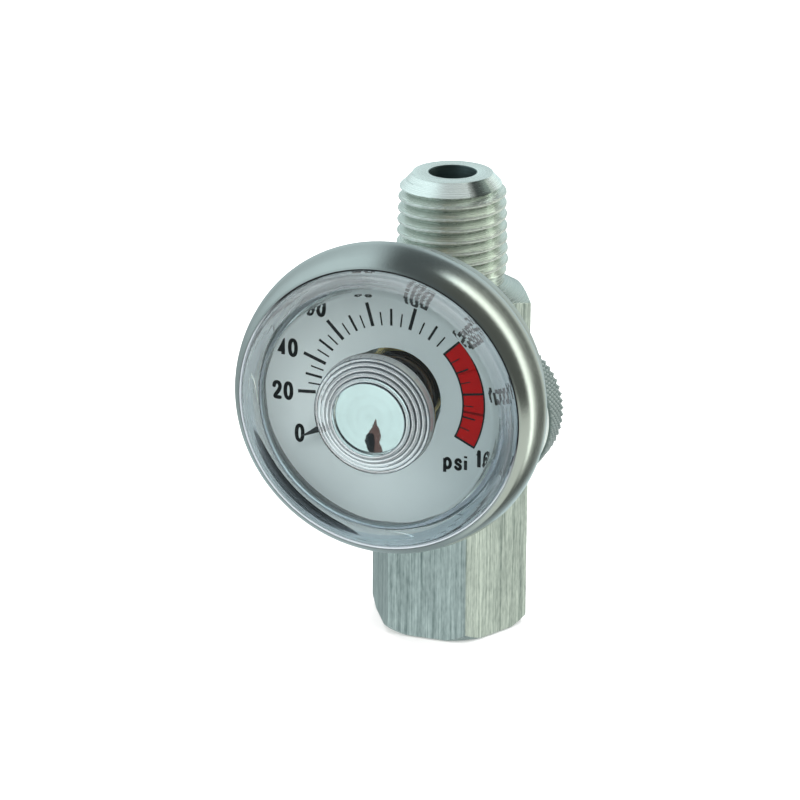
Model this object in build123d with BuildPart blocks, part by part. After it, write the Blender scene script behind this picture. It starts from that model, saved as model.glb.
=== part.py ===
"""Inline gas regulator: throttling valve body with a pressure gauge in front.

Millimetres. The origin is the centre of the inlet port's mouth, +Z runs along
the gas flow from inlet to outlet, the gauge faces -Y and the adjusting knob
stands on +Y.
"""
from build123d import *
import math
import os

os.makedirs("parts", exist_ok=True)

# ---------------------------------------------------------------- dimensions
# body: 11/16 in hexagon bar, 1/4-18 pipe threads at both ends
HEX_AF = 17.463                    # across flats, flats face +Y and -Y
HEX_R = HEX_AF / math.sqrt(3)      # centre to corner
FLAT_Y = HEX_AF / 2                # the front and rear flats
BODY_TOP = 57.3                    # end of the outlet nipple
SHOULDER_Z = 41.8                  # the hexagon's full corners end here
NECK_R = 6.4
THREAD_R = 6.65                    # crest of the outlet thread
ROOT_R = 5.62
PITCH = 25.4 / 18                  # 18 threads per inch
NECK_TOP = 45.3                    # lower end of the outlet thread
NIPPLE_FLAT_R = 4.83
OUTLET_R = 2.8
PORT_R = 5.56                      # minor radius of the inlet thread
PORT_MAJOR_R = 6.45
PORT_DEPTH = 12.5
BASE_R = 9.1                       # flat ring left by the bottom chamfer

GZ = 36.3                          # height of the gauge axis
KZ = 22.0                          # height of the valve and knob axis

# valve
SEAT_Y = -1.9                      # rear face of the seat
CHAMBER_R = 3.2
BONNET_BORE_R = 4.5
BONNET_IN_Y = 3.4
STEM_R = 2.4
SHAFT_R = 2.0
KNOB_Y0, KNOB_Y1 = 11.5, 17.5
KNOB_R = 9.65
KNURL_DEPTH = 0.42
KNURL_COUNT = 64
KNURL_ROWS = 10                    # half diamonds across the band
BAND_Y0, BAND_Y1 = 12.0, 17.0

# gauge, every y is a depth in front of the body's axis
GAUGE_PORT_R = 4.2
CASE_R = 17.35
CASE_WALL = 0.45
CASE_BACK_Y = -15.2
FLANGE_R = 18.2
DIAL_Y = -21.8                     # printed face
DIAL_R = 16.75
DIAL_HOLE_R = 6.0
LENS_R = 16.75
WINDOW_Y = -27.95
BOSS_Y = -30.6
POINTER_Y = -22.95                 # front face of the pointer
POINTER_ZERO_DEG = -151.5          # the pointer's angle at no pressure
POINTER_TIP_R = 12.3

# planes: the gauge and valve profiles are drawn as (radius, y)
gauge_plane = Plane(origin=(0, 0, GZ), x_dir=(1, 0, 0), z_dir=(0, 0, 1))
valve_plane = Plane(origin=(0, 0, KZ), x_dir=(1, 0, 0), z_dir=(0, 0, 1))
gauge_axis = Axis((0, 0, GZ), (0, 1, 0))
valve_axis = Axis((0, 0, KZ), (0, 1, 0))


def facing_front(y, z):
    """A plane square to Y at this depth, its normal toward -Y, X across."""
    return Plane(origin=(0, y, z), x_dir=(1, 0, 0), z_dir=(0, -1, 0))


# ---------------------------------------------------------------- valve body
# outlet nipple outline from the neck up: lands at the crest radius, V grooves
nipple_pts = [(0, SHOULDER_Z), (NECK_R, SHOULDER_Z), (NECK_R, NECK_TOP)]
first_groove = NECK_TOP + 0.5
groove_half = (PITCH - 0.16) / 2    # leaves a 0.16 mm flat on each crest
chamfer_z = BODY_TOP - (THREAD_R - NIPPLE_FLAT_R)
z = first_groove
while z + groove_half < chamfer_z + 0.05:
    if z > first_groove:
        nipple_pts += [(THREAD_R, z - groove_half)]
    nipple_pts += [(ROOT_R, z - 0.05), (ROOT_R, z + 0.05), (THREAD_R, z + groove_half)]
    z += PITCH
nipple_pts += [(THREAD_R, chamfer_z), (NIPPLE_FLAT_R, BODY_TOP), (0, BODY_TOP)]

with BuildPart() as valve_body:
    with BuildSketch():
        RegularPolygon(HEX_R, 6)
    extrude(amount=SHOULDER_Z + 3)
    # lathe-turned ends: 45 degree chamfer below, 30 degree shoulder above
    with BuildSketch(Plane.XZ):
        with BuildLine():
            Polyline(
                (0, 0),
                (BASE_R, 0),
                (HEX_R + 0.02, HEX_R + 0.02 - BASE_R),
                (HEX_R + 0.02, SHOULDER_Z - 0.01),
                (NECK_R, SHOULDER_Z + (HEX_R - NECK_R) * math.tan(math.radians(30))),
                (0, SHOULDER_Z + (HEX_R - NECK_R) * math.tan(math.radians(30))),
                close=True,
            )
        make_face()
    revolve(axis=Axis.Z, mode=Mode.INTERSECT)
    with BuildSketch(Plane.XZ):
        with BuildLine():
            Polyline(*nipple_pts, close=True)
        make_face()
    revolve(axis=Axis.Z)
    # inlet port with its thread's grooves and the drill's point
    port_pts = [(0, 0), (PORT_R + 0.45, 0), (PORT_R, 0.45)]
    z = 1.4
    while z < PORT_DEPTH - 1.0:
        port_pts += [(PORT_R, z - 0.6), (PORT_MAJOR_R, z - 0.05), (PORT_MAJOR_R, z + 0.05), (PORT_R, z + 0.6)]
        z += PITCH
    port_pts += [(PORT_R, PORT_DEPTH), (0, PORT_DEPTH + PORT_R * math.tan(math.radians(31)))]
    with BuildSketch(Plane.XZ):
        with BuildLine():
            Polyline(*port_pts, close=True)
        make_face()
    revolve(axis=Axis.Z, mode=Mode.SUBTRACT)
    # outlet bore, then the smaller drilling down to the valve chamber
    with Locations((0, 0, 30)):
        Cylinder(OUTLET_R, BODY_TOP - 30 + 1, align=(Align.CENTER, Align.CENTER, Align.MIN), mode=Mode.SUBTRACT)
    with BuildSketch(Plane.XY.offset(KZ)):
        Circle(1.6)
    extrude(amount=9, mode=Mode.SUBTRACT)
    # valve bore from the rear flat: bonnet thread, chamber, seat pocket, front chamber
    with BuildSketch(valve_plane):
        with BuildLine():
            Polyline(
                (0, FLAT_Y + 1),
                (BONNET_BORE_R, FLAT_Y + 1),
                (BONNET_BORE_R, BONNET_IN_Y),
                (CHAMBER_R, BONNET_IN_Y),
                (CHAMBER_R, SEAT_Y - 1.2),
                (1.5, SEAT_Y - 1.2),
                (1.5, -5.4),
                (0, -5.4),
                close=True,
            )
        make_face()
    revolve(axis=valve_axis, mode=Mode.SUBTRACT)
    # inlet drilling from the port's floor up into the front chamber
    with BuildSketch(Plane.XY.offset(11.5)):
        with Locations((0, -4.2)):
            Circle(1.05)
    extrude(amount=KZ - 11.5, mode=Mode.SUBTRACT)
    # gauge port from the front flat and its small drilling to the outlet bore
    with BuildSketch(gauge_plane):
        with BuildLine():
            Polyline(
                (0, -FLAT_Y - 1),
                (GAUGE_PORT_R, -FLAT_Y - 1),
                (GAUGE_PORT_R, -4.0),
                (0.8, -4.0),
                (0.8, -1.5),
                (0, -1.5),
                close=True,
            )
        make_face()
    revolve(axis=gauge_axis, mode=Mode.SUBTRACT)
valve_body.part.label = "valve_body"

# seat ring pressed into the bottom of the valve bore
with BuildPart() as valve_seat:
    with BuildSketch(valve_plane):
        with BuildLine():
            Polyline(
                (1.1, SEAT_Y - 1.2),
                (CHAMBER_R - 0.03, SEAT_Y - 1.2),
                (CHAMBER_R - 0.03, SEAT_Y - 0.15),
                (2.2, SEAT_Y - 0.15),
                (2.0, SEAT_Y),
                (1.25, SEAT_Y),
                (1.1, SEAT_Y - 0.15),
                close=True,
            )
        make_face()
    revolve(axis=valve_axis)
valve_seat.part.label = "valve_seat"

# bonnet: threaded gland with a hexagonal head and a gland for the stem seal
with BuildPart() as bonnet:
    with BuildSketch(valve_plane):
        with BuildLine():
            Polyline(
                (STEM_R + 0.08, BONNET_IN_Y + 0.2),
                (BONNET_BORE_R - 0.35, BONNET_IN_Y + 0.2),
                (BONNET_BORE_R - 0.05, BONNET_IN_Y + 0.5),
                (BONNET_BORE_R - 0.05, 9.15),
                (3.6, 9.15),
                (3.6, 12.3),
                (3.3, 12.6),
                (SHAFT_R + 0.08, 12.6),
                (SHAFT_R + 0.08, 11.5),
                (3.1, 11.5),
                (3.1, 10.4),
                (SHAFT_R + 0.08, 10.4),
                (SHAFT_R + 0.08, 9.6),
                (STEM_R + 0.08, 9.6),
                close=True,
            )
        make_face()
    revolve(axis=valve_axis)
    with BuildSketch(facing_front(11.4, KZ)):
        RegularPolygon(6.35, 6, rotation=30)
        Circle(3.3, mode=Mode.SUBTRACT)
    extrude(amount=11.4 - 9.15)
    with BuildSketch(valve_plane):
        with BuildLine():
            Polyline((5.5, 11.5), (7, 11.5), (7, 10.63), close=True)
        make_face()
    revolve(axis=valve_axis, mode=Mode.SUBTRACT)
bonnet.part.label = "bonnet"

with BuildPart() as bonnet_gasket:
    with BuildSketch(facing_front(9.13, KZ)):
        Circle(5.4)
        Circle(4.5, mode=Mode.SUBTRACT)
    extrude(amount=9.13 - FLAT_Y - 0.01)
bonnet_gasket.part.label = "bonnet_gasket"

with BuildPart() as stem_oring:
    with BuildSketch(valve_plane):
        with Locations((SHAFT_R + 0.55, 10.95)):
            Circle(0.5)
    revolve(axis=valve_axis)
stem_oring.part.label = "stem_oring"

# needle tip: turns freely on the stem's spigot, so it closes without turning
with BuildPart() as valve_needle:
    with BuildSketch(valve_plane):
        with BuildLine():
            Polyline(
                (0, -2.0),
                (0.4, -2.0),
                (1.6, -0.4),
                (2.0, -0.4),
                (2.2, -0.2),
                (2.2, 2.0),
                (2.0, 2.2),
                (1.32, 2.2),
                (1.32, 0.6),
                (0, 0.6),
                close=True,
            )
        make_face()
    revolve(axis=valve_axis)
valve_needle.part.label = "valve_needle"

with BuildPart() as valve_stem:
    with BuildSketch(valve_plane):
        with BuildLine():
            Polyline(
                (0, 0.7),
                (1.05, 0.7),
                (1.25, 0.9),
                (1.25, 2.3),
                (STEM_R - 0.2, 2.3),
                (STEM_R, 2.5),
                (STEM_R, 7.7),
                (STEM_R - 0.2, 7.9),
                (SHAFT_R, 7.9),
                (SHAFT_R, 17.2),
                (1.15, 17.2),
                (1.15, 12.9),
                (0, 12.3),
                close=True,
            )
        make_face()
    revolve(axis=valve_axis)
valve_stem.part.label = "valve_stem"

# ------------------------------------------------------------- adjusting knob
# the knurled band: pointed diamonds between two crossing sets of grooves
root_r = KNOB_R - KNURL_DEPTH
half = math.pi / KNURL_COUNT


def knurl_point(a, b):
    """Lattice point a half-pitches round and b half-diamonds along the band."""
    r = root_r if (a + b) % 2 == 0 else KNOB_R
    t = a * half
    y = BAND_Y0 + (BAND_Y1 - BAND_Y0) * b / KNURL_ROWS
    return (r * math.cos(t), y, KZ + r * math.sin(t))


facets = []
turn = 2 * KNURL_COUNT
for b in range(KNURL_ROWS + 1):
    for a in range(turn):
        if (a + b) % 2 == 0:
            continue
        peak = knurl_point(a, b)
        ring = [knurl_point(a - 1, b), knurl_point(a, b + 1), knurl_point(a + 1, b), knurl_point(a, b - 1)]
        sides = []
        if b < KNURL_ROWS:
            sides += [(ring[0], ring[1]), (ring[1], ring[2])]
        if b > 0:
            sides += [(ring[2], ring[3]), (ring[3], ring[0])]
        for p, q in sides:
            facets.append(Face(Wire.make_polygon([peak, p, q], close=True)))
for b in (0, KNURL_ROWS):
    facets.append(Face(Wire.make_polygon([knurl_point(a, b) for a in range(turn)], close=True)))
band = Solid(Shell(facets))

with BuildPart() as adjusting_knob:
    add(band)
    # smooth turned ends, then the front recess over the bonnet and the stem's bore
    with BuildSketch(valve_plane):
        with BuildLine():
            Polyline(
                (0, KNOB_Y0),
                (root_r - 0.55, KNOB_Y0),
                (root_r - 0.05, BAND_Y0),
                (root_r - 0.05, BAND_Y1),
                (root_r - 0.55, KNOB_Y1),
                (0, KNOB_Y1),
                close=True,
            )
        make_face()
    revolve(axis=valve_axis)
    with BuildSketch(valve_plane):
        with BuildLine():
            Polyline(
                (0, KNOB_Y0 - 1),
                (7.0, KNOB_Y0 - 1),
                (7.0, 13.9),
                (SHAFT_R + 0.03, 13.9),
                (SHAFT_R + 0.03, KNOB_Y1 + 1),
                (0, KNOB_Y1 + 1),
                close=True,
            )
        make_face()
    revolve(axis=valve_axis, mode=Mode.SUBTRACT)
adjusting_knob.part.label = "adjusting_knob"

with BuildPart() as knob_washer:
    with BuildSketch(facing_front(17.93, KZ)):
        Circle(3.6)
        Circle(1.3, mode=Mode.SUBTRACT)
    extrude(amount=0.4)
knob_washer.part.label = "knob_washer"

with BuildPart() as knob_screw:
    with BuildSketch(valve_plane):
        with BuildLine():
            l1 = Line((0, 13.2), (0.9, 13.2))
            l2 = Line((0.9, 13.2), (1.1, 13.4))
            l3 = Line((1.1, 13.4), (1.1, 17.96))
            l4 = Line((1.1, 17.96), (2.75, 17.96))
            l5 = Line((2.75, 17.96), (2.75, 18.6))
            l6 = Spline((2.75, 18.6), (2.0, 19.3), (0, 19.6), tangents=((0, 1), (-1, 0)))
            l7 = Line((0, 19.6), (0, 13.2))
        make_face()
    revolve(axis=valve_axis)
    with BuildSketch(facing_front(20.0, KZ)):
        Rectangle(7, 0.8)
    extrude(amount=1.1, mode=Mode.SUBTRACT)
knob_screw.part.label = "knob_screw"

# ---------------------------------------------------------------------- gauge
with BuildPart() as gauge_seal:
    with BuildSketch(facing_front(-FLAT_Y - 0.01, GZ)):
        Circle(5.9)
        Circle(GAUGE_PORT_R + 0.1, mode=Mode.SUBTRACT)
    extrude(amount=0.28)
gauge_seal.part.label = "gauge_seal"

with BuildPart() as gauge_socket:
    with BuildSketch(gauge_plane):
        with BuildLine():
            Polyline(
                (1.5, -4.3),
                (GAUGE_PORT_R - 0.35, -4.3),
                (GAUGE_PORT_R - 0.05, -4.6),
                (GAUGE_PORT_R - 0.05, -9.05),
                (GAUGE_PORT_R - 0.05, -14.87),
                (3.4, -14.87),
                (3.4, -17.4),
                (0.8, -17.4),
                (0.8, -6.4),
                (1.5, -6.4),
                close=True,
            )
        make_face()
    revolve(axis=gauge_axis)
    with BuildSketch(facing_front(-9.05, GZ)):
        RegularPolygon(6.4, 6, rotation=30)
        Circle(3.9, mode=Mode.SUBTRACT)
    extrude(amount=14.87 - 9.05)
gauge_socket.part.label = "gauge_socket"

with BuildPart() as gauge_restrictor:
    with BuildSketch(facing_front(-4.5, GZ)):
        Circle(1.47)
        Circle(0.35, mode=Mode.SUBTRACT)
    extrude(amount=1.8)
gauge_restrictor.part.label = "gauge_restrictor"

with BuildPart() as case_washer:
    with BuildSketch(facing_front(-14.89, GZ)):
        Circle(6.6)
        Circle(3.55, mode=Mode.SUBTRACT)
    extrude(amount=0.29)
case_washer.part.label = "case_washer"

# pressed cup with a rim flange that the bezel rolls round
co, ci = 3.2, 3.2 - CASE_WALL
with BuildPart() as gauge_case:
    with BuildSketch(gauge_plane):
        with BuildLine():
            c1 = Line((3.5, CASE_BACK_Y), (CASE_R - co, CASE_BACK_Y))
            c2 = RadiusArc((CASE_R - co, CASE_BACK_Y), (CASE_R, CASE_BACK_Y - co), co)
            c3 = Line((CASE_R, CASE_BACK_Y - co), (CASE_R, -22.9))
            c4 = Line((CASE_R, -22.9), (FLANGE_R, -22.9))
            c5 = Line((FLANGE_R, -22.9), (FLANGE_R, -22.9 - CASE_WALL))
            c6 = Line((FLANGE_R, -22.9 - CASE_WALL), (CASE_R - CASE_WALL, -22.9 - CASE_WALL))
            c7 = Line((CASE_R - CASE_WALL, -22.9 - CASE_WALL), (CASE_R - CASE_WALL, CASE_BACK_Y - co))
            c8 = RadiusArc((CASE_R - CASE_WALL, CASE_BACK_Y - co), (CASE_R - co, CASE_BACK_Y - CASE_WALL), -ci)
            c9 = Line((CASE_R - co, CASE_BACK_Y - CASE_WALL), (3.5, CASE_BACK_Y - CASE_WALL))
            c10 = Line((3.5, CASE_BACK_Y - CASE_WALL), (3.5, CASE_BACK_Y))
        make_face()
    revolve(axis=gauge_axis)
gauge_case.part.label = "gauge_case"

with BuildPart() as case_nut:
    with BuildSketch(facing_front(CASE_BACK_Y - CASE_WALL - 0.02, GZ)):
        RegularPolygon(5.6, 6)
        Circle(3.45, mode=Mode.SUBTRACT)
    extrude(amount=1.4)
case_nut.part.label = "case_nut"

# rolled bezel: a thin convex ring, its lip over the lens and its tail behind the flange
with BuildPart() as gauge_bezel:
    with BuildSketch(gauge_plane):
        with BuildLine():
            b1 = Spline(
                (17.02, -27.42), (17.62, -26.95), (18.12, -25.9), (18.55, -24.3), (18.76, -22.6), (18.5, -21.3), (17.75, -20.6), (17.42, -20.55),
                tangents=((1, -0.1), (-1, 0)),
            )
            b2 = Line((17.42, -20.55), (17.42, -20.9))
            b3 = Spline(
                (17.42, -20.9), (17.65, -20.95), (18.18, -21.5), (18.36, -22.6), (18.16, -24.2), (17.74, -25.7), (17.35, -26.55), (17.02, -26.95),
                tangents=((1, 0), (-1, -0.6)),
            )
            b4 = Line((17.02, -26.95), (17.02, -27.42))
        make_face()
    revolve(axis=gauge_axis)
gauge_bezel.part.label = "gauge_bezel"

with BuildPart() as lens_gasket:
    with BuildSketch(gauge_plane):
        with BuildLine():
            Polyline((16.8, -27.3), (16.97, -27.36), (16.97, -26.85), (17.2, -26.6), (17.2, -25.6), (16.8, -25.6), close=True)
        make_face()
    revolve(axis=gauge_axis)
lens_gasket.part.label = "lens_gasket"

# moulded clear lens: window, raised rim bead, stepped central boss
boss_steps = [(4.4, BOSS_Y), (4.95, -30.3), (5.5, -30.05), (6.05, -29.8), (6.55, -29.5), (7.05, -29.2)]
lens_outer = [(0, BOSS_Y), boss_steps[0]]
for (r0, y0), (r1, y1) in zip(boss_steps[:-1], boss_steps[1:]):
    lens_outer += [(r0 + 0.05, y1 + 0.09), (r0 + 0.16, y1 - 0.02), (r0 + 0.32, y1 - 0.07), (r1 - 0.06, y1 - 0.05), (r1, y1 + 0.02)]
lens_outer += [(7.05, -28.2), (7.15, WINDOW_Y), (14.05, WINDOW_Y)]
with BuildPart() as gauge_lens:
    with BuildSketch(gauge_plane):
        with BuildLine():
            Polyline(*lens_outer)
            Spline((14.05, WINDOW_Y), (14.725, -28.162), (15.4, -28.25), tangents=((1, -0.35), (1, 0)))
            Spline((15.4, -28.25), (16.355, -27.884), (LENS_R, -27.0), tangents=((1, 0), (0, 1)))
            Polyline((LENS_R, -27.0), (LENS_R, -21.85), (15.9, -21.85), (15.4, -24.95))
            ThreePointArc((15.4, -24.95), (14.873, -26.223), (13.6, -26.75))
            Polyline(
                (13.6, -26.75),
                (6.3, -26.75),
                (6.1, -27.0),
                (4.95, -29.3),
                (4.75, -29.7),
                (0, -29.7),
                (0, BOSS_Y),
            )
        make_face()
    revolve(axis=gauge_axis)
gauge_lens.part.label = "gauge_lens"

# polished disc bonded behind the boss's flat
with BuildPart() as centre_mirror:
    with BuildSketch(facing_front(-29.3, GZ)):
        Circle(4.6)
    extrude(amount=0.38)
centre_mirror.part.label = "centre_mirror"

with BuildPart() as dial_plate:
    with BuildSketch(facing_front(DIAL_Y + 0.4, GZ)):
        Circle(DIAL_R)
        Circle(DIAL_HOLE_R, mode=Mode.SUBTRACT)
    extrude(amount=0.4)
    # pocket for the stop pin
    stop_r, stop_deg = 7.75, POINTER_ZERO_DEG + 7.0
    with BuildSketch(facing_front(DIAL_Y + 0.5, GZ)):
        with Locations((stop_r * math.cos(math.radians(stop_deg)), stop_r * math.sin(math.radians(stop_deg)))):
            Circle(0.33)
    extrude(amount=0.6, mode=Mode.SUBTRACT)
dial_plate.part.label = "dial_plate"

with BuildPart() as zero_stop_pin:
    with BuildSketch(facing_front(DIAL_Y + 0.35, GZ)):
        with Locations((stop_r * math.cos(math.radians(stop_deg)), stop_r * math.sin(math.radians(stop_deg)))):
            Circle(0.3)
    extrude(amount=1.7)
zero_stop_pin.part.label = "zero_stop_pin"

with BuildPart() as dial_spacer:
    with BuildSketch(gauge_plane):
        with BuildLine():
            Polyline((15.6, DIAL_Y + 0.42), (16.82, DIAL_Y + 0.42), (16.82, -18.6), (16.4, -17.4), (15.6, -17.4), close=True)
        make_face()
    revolve(axis=gauge_axis)
dial_spacer.part.label = "dial_spacer"

# arbor bushing stands on the socket's end, inside the coil
with BuildPart() as arbor_bushing:
    with BuildSketch(gauge_plane):
        with BuildLine():
            Polyline((0.65, -17.43), (2.6, -17.43), (2.6, -18.0), (1.5, -18.0), (1.5, -20.7), (0.65, -20.7), close=True)
        make_face()
    revolve(axis=gauge_axis)
arbor_bushing.part.label = "arbor_bushing"

# anchor block joins the coil's fixed end to the socket
with BuildPart() as coil_anchor:
    with BuildSketch(facing_front(-17.43, GZ)):
        with Locations((3.95, 0)):
            Rectangle(2.5, 1.8)
    extrude(amount=0.6)
coil_anchor.part.label = "coil_anchor"

# flattened pressure tube wound as a coil round the gauge axis
coil_r, coil_pitch, coil_turns = 4.25, 0.78, 3.25
with BuildPart() as bourdon_coil:
    with BuildLine():
        coil_path = Helix(
            pitch=coil_pitch,
            height=coil_pitch * coil_turns,
            radius=coil_r,
            center=(0, -18.45, GZ),
            direction=(0, -1, 0),
        )
    with BuildSketch(Plane(origin=coil_path @ 0, x_dir=(0, 1, 0), z_dir=coil_path % 0)):
        Ellipse(0.30, 0.42)
    sweep(path=coil_path, is_frenet=True)
bourdon_coil.part.label = "bourdon_coil"

with BuildPart() as pointer_arbor:
    with BuildSketch(gauge_plane):
        with BuildLine():
            Polyline((0, -17.6), (0.45, -17.6), (0.6, -17.75), (0.6, -23.6), (0.45, -23.75), (0, -23.75), close=True)
        make_face()
    revolve(axis=gauge_axis)
pointer_arbor.part.label = "pointer_arbor"

# link arm carries the coil's free end to the arbor
link_deg = 90.0
with BuildPart() as coil_link:
    with BuildSketch(facing_front(-21.4, GZ)):
        Circle(1.7)
        with Locations(Rotation(0, 0, link_deg)):
            with Locations((2.5, 0)):
                Rectangle(4.3, 1.0)
        Circle(0.62, mode=Mode.SUBTRACT)
    extrude(amount=0.25)
coil_link.part.label = "coil_link"

pc, ps = math.cos(math.radians(POINTER_ZERO_DEG)), math.sin(math.radians(POINTER_ZERO_DEG))
blade_pts = [
    (u * pc - v * ps, u * ps + v * pc)
    for u, v in [
        (-3.6, -1.1),
        (0, -1.05),
        (POINTER_TIP_R - 3.0, -0.46),
        (POINTER_TIP_R, -0.03),
        (POINTER_TIP_R, 0.03),
        (POINTER_TIP_R - 3.0, 0.46),
        (0, 1.05),
        (-3.6, 1.1),
    ]
]
with BuildPart() as pointer_blade:
    with BuildSketch(facing_front(POINTER_Y + 0.25, GZ)):
        with BuildLine():
            Polyline(*blade_pts, close=True)
        make_face()
        Circle(2.3)
        Circle(0.62, mode=Mode.SUBTRACT)
    extrude(amount=0.25)
pointer_blade.part.label = "pointer_blade"

with BuildPart() as pointer_hub:
    with BuildSketch(gauge_plane):
        with BuildLine():
            Polyline((0.62, POINTER_Y - 0.02), (1.5, POINTER_Y - 0.02), (1.5, -23.4), (1.3, -23.6), (0.62, -23.6), close=True)
        make_face()
    revolve(axis=gauge_axis)
pointer_hub.part.label = "pointer_hub"

# --------------------------------------------------------------------- export
export_step(valve_body.part, "parts/valve_body.step")
export_step(valve_seat.part, "parts/valve_seat.step")
export_step(bonnet.part, "parts/bonnet.step")
export_step(bonnet_gasket.part, "parts/bonnet_gasket.step")
export_step(stem_oring.part, "parts/stem_oring.step")
export_step(valve_needle.part, "parts/valve_needle.step")
export_step(valve_stem.part, "parts/valve_stem.step")
export_step(adjusting_knob.part, "parts/adjusting_knob.step")
export_step(knob_washer.part, "parts/knob_washer.step")
export_step(knob_screw.part, "parts/knob_screw.step")
export_step(gauge_seal.part, "parts/gauge_seal.step")
export_step(gauge_socket.part, "parts/gauge_socket.step")
export_step(gauge_restrictor.part, "parts/gauge_restrictor.step")
export_step(case_washer.part, "parts/case_washer.step")
export_step(gauge_case.part, "parts/gauge_case.step")
export_step(case_nut.part, "parts/case_nut.step")
export_step(gauge_bezel.part, "parts/gauge_bezel.step")
export_step(lens_gasket.part, "parts/lens_gasket.step")
export_step(gauge_lens.part, "parts/gauge_lens.step")
export_step(centre_mirror.part, "parts/centre_mirror.step")
export_step(dial_plate.part, "parts/dial_plate.step")
export_step(zero_stop_pin.part, "parts/zero_stop_pin.step")
export_step(dial_spacer.part, "parts/dial_spacer.step")
export_step(arbor_bushing.part, "parts/arbor_bushing.step")
export_step(coil_anchor.part, "parts/coil_anchor.step")
export_step(bourdon_coil.part, "parts/bourdon_coil.step")
export_step(pointer_arbor.part, "parts/pointer_arbor.step")
export_step(coil_link.part, "parts/coil_link.step")
export_step(pointer_blade.part, "parts/pointer_blade.step")
export_step(pointer_hub.part, "parts/pointer_hub.step")
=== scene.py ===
import bpy
import bmesh
import math
from mathutils import Vector, Matrix

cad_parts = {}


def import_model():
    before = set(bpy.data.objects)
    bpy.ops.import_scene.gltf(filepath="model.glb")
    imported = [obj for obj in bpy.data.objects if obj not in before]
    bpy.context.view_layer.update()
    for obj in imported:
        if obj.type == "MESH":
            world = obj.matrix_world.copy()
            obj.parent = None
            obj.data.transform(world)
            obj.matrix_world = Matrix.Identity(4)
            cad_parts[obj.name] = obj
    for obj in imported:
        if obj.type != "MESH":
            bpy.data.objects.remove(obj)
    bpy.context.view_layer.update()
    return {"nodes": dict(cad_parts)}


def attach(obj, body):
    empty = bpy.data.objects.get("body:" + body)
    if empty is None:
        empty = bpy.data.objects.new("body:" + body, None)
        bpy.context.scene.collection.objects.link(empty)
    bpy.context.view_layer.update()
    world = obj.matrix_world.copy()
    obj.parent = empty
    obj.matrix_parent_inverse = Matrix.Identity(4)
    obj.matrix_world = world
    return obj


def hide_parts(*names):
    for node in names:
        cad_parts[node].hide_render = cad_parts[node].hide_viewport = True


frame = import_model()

MM = 0.001
GZ = 36.3      # gauge axis height
KZ = 22.0      # valve axis height
HEX_AF = 17.463
HEX_R = HEX_AF / math.sqrt(3)
PITCH = 25.4 / 18
SHOULDER_Z = 41.8


# ------------------------------------------------------------------ mesh tools
def new_object(name, verts, faces, material=None, sharp=34, body="valve", mat_index=None, mats=None):
    mesh = bpy.data.meshes.new(name)
    mesh.from_pydata([tuple(c * MM for c in v) for v in verts], [], faces)
    mesh.validate()
    bm = bmesh.new()
    bm.from_mesh(mesh)
    bmesh.ops.remove_doubles(bm, verts=bm.verts, dist=1e-7)
    bmesh.ops.dissolve_degenerate(bm, edges=bm.edges, dist=1e-8)
    bmesh.ops.recalc_face_normals(bm, faces=bm.faces)
    bm.to_mesh(mesh)
    bm.free()
    mesh.polygons.foreach_set("use_smooth", [True] * len(mesh.polygons))
    if sharp:
        mesh.set_sharp_from_angle(angle=math.radians(sharp))
    obj = bpy.data.objects.new(name, mesh)
    bpy.context.scene.collection.objects.link(obj)
    for m in (mats or [material]):
        mesh.materials.append(m)
    if mat_index:
        for p in mesh.polygons:
            p.material_index = mat_index(p.center / MM)
    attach(obj, body)
    return obj


def rounded(points, radius, steps=4, closed=True):
    """The outline with each corner turned into a small arc. radius is a number or a function of the corner's index."""
    n = len(points)
    out = []
    for i, p in enumerate(points):
        p = Vector(p)
        r = radius(i) if callable(radius) else radius
        if not closed and i in (0, n - 1) or not r:
            out.append(tuple(p))
            continue
        a, b = Vector(points[i - 1]), Vector(points[(i + 1) % n])
        da, db = a - p, b - p
        if da.length < 1e-6 or db.length < 1e-6:
            out.append(tuple(p))
            continue
        la, lb = da.length, db.length
        da.normalize(); db.normalize()
        ang = da.angle(db)
        if ang > math.radians(176):
            out.append(tuple(p))
            continue
        cut = min(r / math.tan(ang / 2), 0.45 * la, 0.45 * lb)
        s, e = p + da * cut, p + db * cut
        for k in range(steps + 1):
            t = k / steps
            # quadratic through the corner stands in for the arc at this size
            out.append(tuple(s * (1 - t) ** 2 + p * 2 * t * (1 - t) + e * t ** 2))
    return out


def lathe(name, outline, axis="Y", at=(0, 0, GZ), segs=256, **kw):
    """Turns a closed (radius, height) outline about an axis. Points at radius 0 become one vertex."""
    verts, rings = [], []
    for r, h in outline:
        if r < 1e-6:
            rings.append([len(verts)])
            verts.append((at[0], h, at[2]) if axis == "Y" else (at[0], at[1], h))
            continue
        ring = []
        for k in range(segs):
            t = 2 * math.pi * k / segs
            ring.append(len(verts))
            if axis == "Y":
                verts.append((at[0] + r * math.cos(t), h, at[2] + r * math.sin(t)))
            else:
                verts.append((at[0] + r * math.cos(t), at[1] + r * math.sin(t), h))
        rings.append(ring)
    faces = []
    n = len(rings)
    for i in range(n):
        a, b = rings[i], rings[(i + 1) % n]
        if len(a) == 1 and len(b) == 1:
            continue
        for k in range(segs):
            k2 = (k + 1) % segs
            if len(a) == 1:
                faces.append((a[0], b[k], b[k2]))
            elif len(b) == 1:
                faces.append((a[k], b[0], a[k2]))
            else:
                faces.append((a[k], b[k], b[k2], a[k2]))
    return new_object(name, verts, faces, **kw)


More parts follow.
